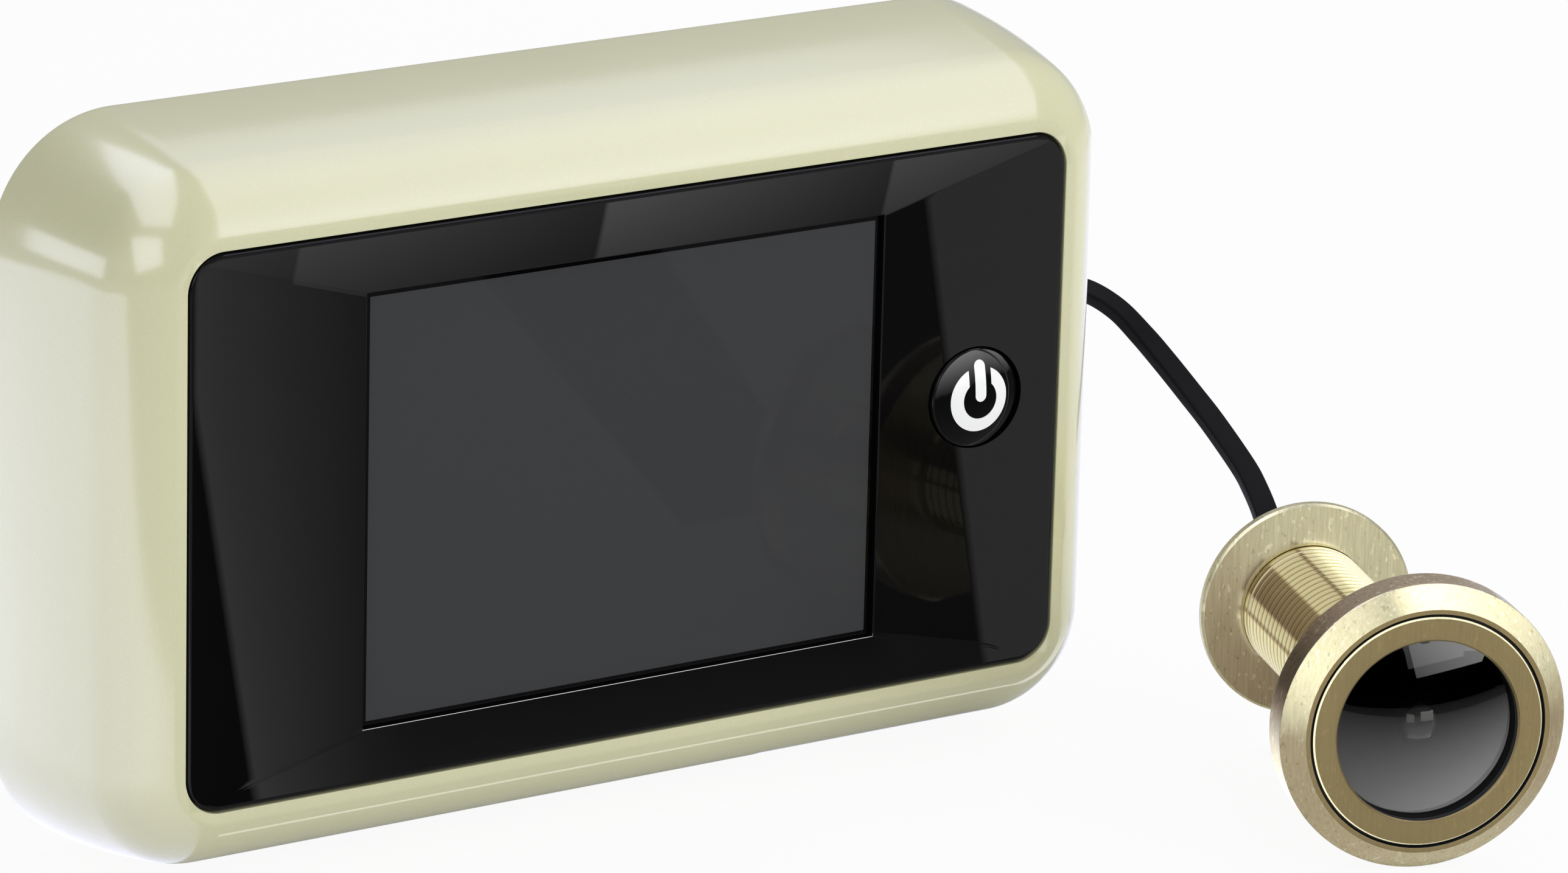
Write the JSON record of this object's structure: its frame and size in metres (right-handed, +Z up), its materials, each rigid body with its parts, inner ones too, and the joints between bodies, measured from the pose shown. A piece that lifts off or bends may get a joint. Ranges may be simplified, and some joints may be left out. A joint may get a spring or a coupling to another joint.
{
  "type": "peephole door camera",
  "caption": "Door viewer: display unit with sloped black fascia and power button, hung on a door bracket and joined by a flat cable to a brass camera barrel clamped by a ring nut.",
  "frame": {"origin": "centre of the door bracket's bore, on the door's inner face", "axes": "+X to the right as seen from the room, +Y into the door, +Z up; the display faces -Y"},
  "size_m": [0.1473, 0.0792, 0.0762],
  "materials": {
    "cream_housing": "pearl gloss",
    "black_gloss": "high gloss",
    "display_glass": "dark anti-glare",
    "display_stack": "unlit display",
    "light_guide": "white light guide",
    "tinned_steel": "tinned",
    "switch_body": "moulded",
    "board": "solder mask",
    "chip": "moulded package",
    "connector": "moulded nylon",
    "black_plastic": "fine texture",
    "cell_jacket": "printed jacket",
    "bracket_steel": "powder coat",
    "brass": "brushed",
    "bronze_ring": "brushed",
    "cover_glass": "polished dark",
    "lens_glass": "coated",
    "rubber": "matt",
    "cable_jacket": "satin"
  },
  "bodies": {
    "bracket": {"mounting_bracket": "bracket_steel"},
    "display_unit": {"front_housing": "cream_housing", "fascia": "black_gloss", "display_window": "display_glass", "display_panel": "display_stack", "backlight": "light_guide", "display_tray": "tinned_steel", "tact_switch": "switch_body", "main_board": "board", "processor": "chip", "cable_socket": "connector", "rear_cover": "black_plastic", "battery_1": "cell_jacket", "battery_2": "cell_jacket", "battery_3": "cell_jacket", "contact_left": "tinned_steel", "contact_right": "tinned_steel", "bezel_ring": "brass", "retaining_ring": "bronze_ring", "cover_glass": "cover_glass", "seal_ring": "rubber", "lens_holder": "black_plastic", "camera_lens": "lens_glass", "image_sensor": "chip", "sensor_board": "board", "camera_barrel": "brass", "cable_grommet": "rubber", "cable_plug": "black_plastic", "camera_cable": "cable_jacket"},
    "button": {"button_cap": "black_gloss", "switch_plunger": "black_plastic"},
    "battery_lid": {"battery_cover": "black_plastic"},
    "flange": {"clamp_flange": "brass"},
    "nut": {"ring_nut": "brass"}
  },
  "joints": [
    {"name": "unit_lift", "type": "slide", "parent": "bracket", "child": "display_unit", "axis": [0, 0, 1], "range_m": [0, 0.008]},
    {"name": "button_press", "type": "slide", "parent": "display_unit", "child": "button", "axis": [0, 1, 0], "range_m": [0, 0.0007], "stiffness_N_per_m": 2500, "springref_m": -0.0004},
    {"name": "battery_lid_slide", "type": "slide", "parent": "display_unit", "child": "battery_lid", "axis": [0, 0, -1], "range_m": [0, 0.006]},
    {"name": "flange_slide", "type": "slide", "parent": "display_unit", "child": "flange", "axis": [-0.3338, -0.9426, 0], "range_m": [0, 0.018]},
    {"name": "nut_turn", "type": "hinge", "parent": "flange", "child": "nut", "pos_m": [0.03935, -0.0749, -0.023], "axis": [-0.3338, -0.9426, 0], "range_deg": [0, 5400]}
  ],
  "couplings": [
    {"joint": "nut_turn", "follows": "flange_slide", "rad_per_m": 5236}
  ]
}
